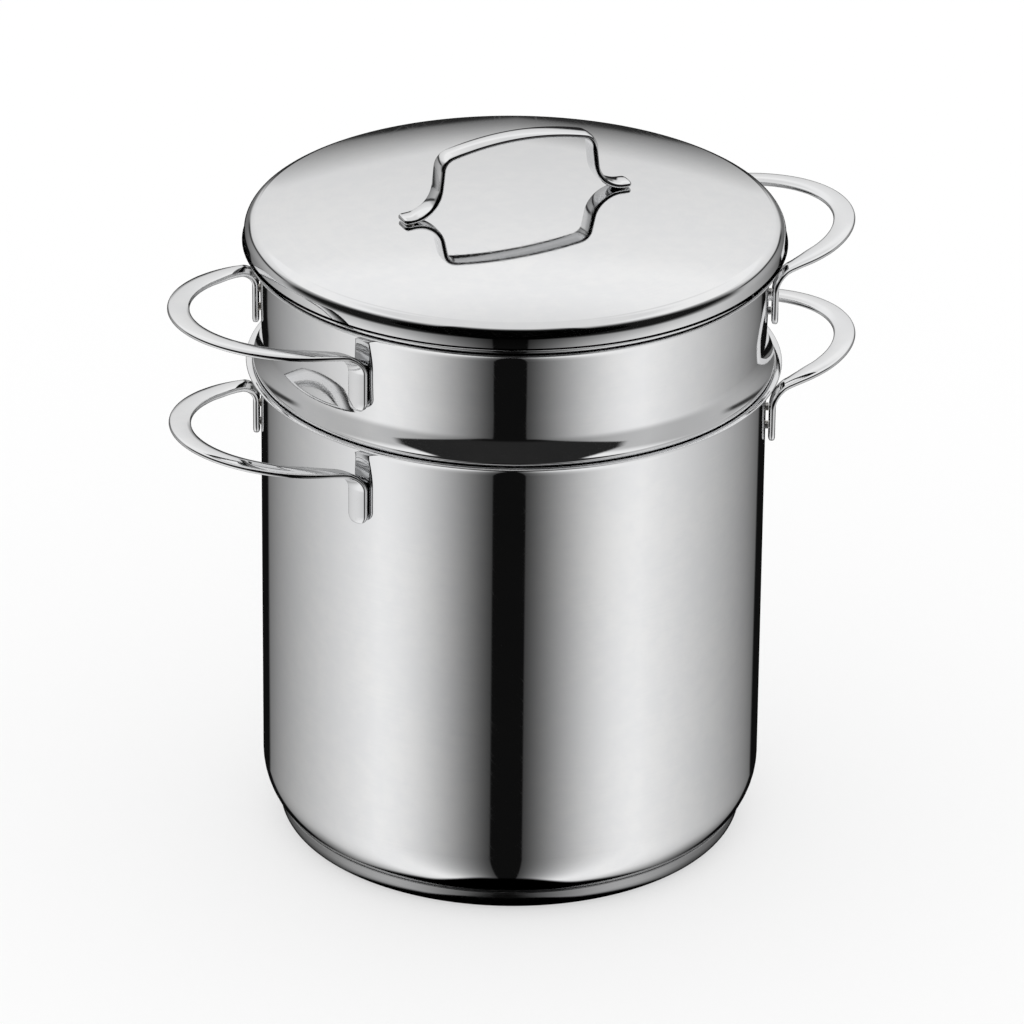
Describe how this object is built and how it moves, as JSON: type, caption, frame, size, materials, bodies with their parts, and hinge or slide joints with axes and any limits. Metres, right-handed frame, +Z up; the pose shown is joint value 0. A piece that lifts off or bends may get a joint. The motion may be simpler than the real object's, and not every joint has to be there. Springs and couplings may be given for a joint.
{
  "type": "pasta pot with strainer insert",
  "caption": "Tall polished stainless pot for pasta with a lift-out perforated strainer, a domed lid, strip loop handles at the sides and a strip bow handle on the lid.",
  "frame": {"origin": "centre of the flat underside of the base, the middle of the bounding box's bottom face", "axes": "+Z up along the pot's axis, the side handles lie along X, Y across them"},
  "size_m": [0.2938, 0.2144, 0.2969],
  "materials": {
    "polished_steel": "polished",
    "base_steel": "polished",
    "inner_steel": "satin",
    "strip_steel": "polished",
    "stud_steel": "satin",
    "core_aluminium": "satin"
  },
  "bodies": {
    "pot": {"pot_shell": "polished_steel", "base_core": "core_aluminium", "base_capsule": "base_steel", "pot_handle_left": "strip_steel", "pot_handle_right": "strip_steel", "pot_weld_bosses_left": "stud_steel", "pot_weld_bosses_right": "stud_steel"},
    "strainer": {"strainer_collar": "polished_steel", "strainer_basket": "inner_steel", "strainer_handle_left": "strip_steel", "strainer_handle_right": "strip_steel", "strainer_weld_bosses_left": "stud_steel", "strainer_weld_bosses_right": "stud_steel"},
    "lid": {"lid_shell": "polished_steel", "lid_handle": "strip_steel", "lid_weld_bosses": "stud_steel"}
  },
  "joints": [
    {"name": "strainer_lift", "type": "slide", "parent": "pot", "child": "strainer", "axis": [0, 0, 1], "range_m": [0, 0.18]},
    {"name": "lid_lift", "type": "slide", "parent": "strainer", "child": "lid", "axis": [0, 0, 1], "range_m": [0, 0.08]}
  ]
}
